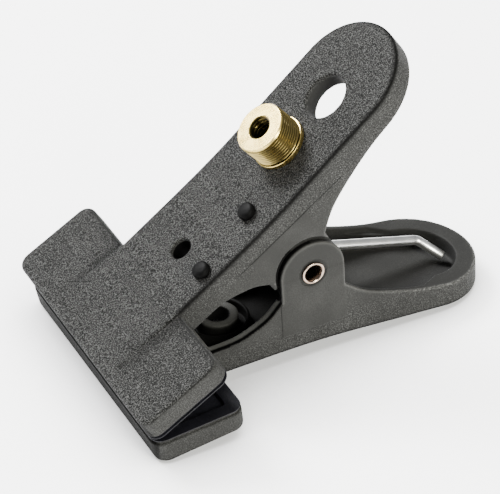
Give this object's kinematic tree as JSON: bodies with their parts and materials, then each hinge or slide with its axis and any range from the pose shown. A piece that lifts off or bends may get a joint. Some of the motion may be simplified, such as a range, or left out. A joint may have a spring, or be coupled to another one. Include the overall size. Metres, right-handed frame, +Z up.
{
  "type": "spring clamp",
  "caption": "Squeeze-handle spring clamp with wide padded jaws, a threaded brass stud on top and a hang hole in the handle.",
  "frame": {"origin": "middle of the clamp's length and width, on the surface that it lies on", "axes": "+X from the jaws to the handles, +Y across the clamp along the pivot rivet, +Z up"},
  "size_m": [0.1326, 0.0882, 0.0928],
  "materials": {
    "nylon": "coarse moulded grain on the outside, smooth inside",
    "pad_rubber": "smooth moulded rubber",
    "peg_plastic": "satin",
    "spring_steel": "bright plated wire",
    "zinc_steel": "zinc plated",
    "nickel_steel": "rolled and nickel plated",
    "brass": "machined, lightly polished"
  },
  "bodies": {
    "lower": {"lower_lever": "nylon", "lower_jaw_pad": "pad_rubber", "pivot_rivet": "nickel_steel", "spring_sleeve": "zinc_steel", "torsion_spring": "spring_steel"},
    "upper": {"upper_lever": "nylon", "upper_jaw_pad": "pad_rubber", "threaded_stud": "brass", "stud_washer": "zinc_steel", "stud_nut": "zinc_steel", "peg_front": "peg_plastic", "peg_rear": "peg_plastic"}
  },
  "joints": [
    {"name": "jaw_pivot", "type": "hinge", "parent": "lower", "child": "upper", "pos_m": [0.00162, 0, 0.02986], "axis": [0, 1, 0], "range_deg": [0, 50], "stiffness_Nm_per_rad": 4, "springref_deg": -22.92, "deforming": ["torsion_spring"]}
  ]
}
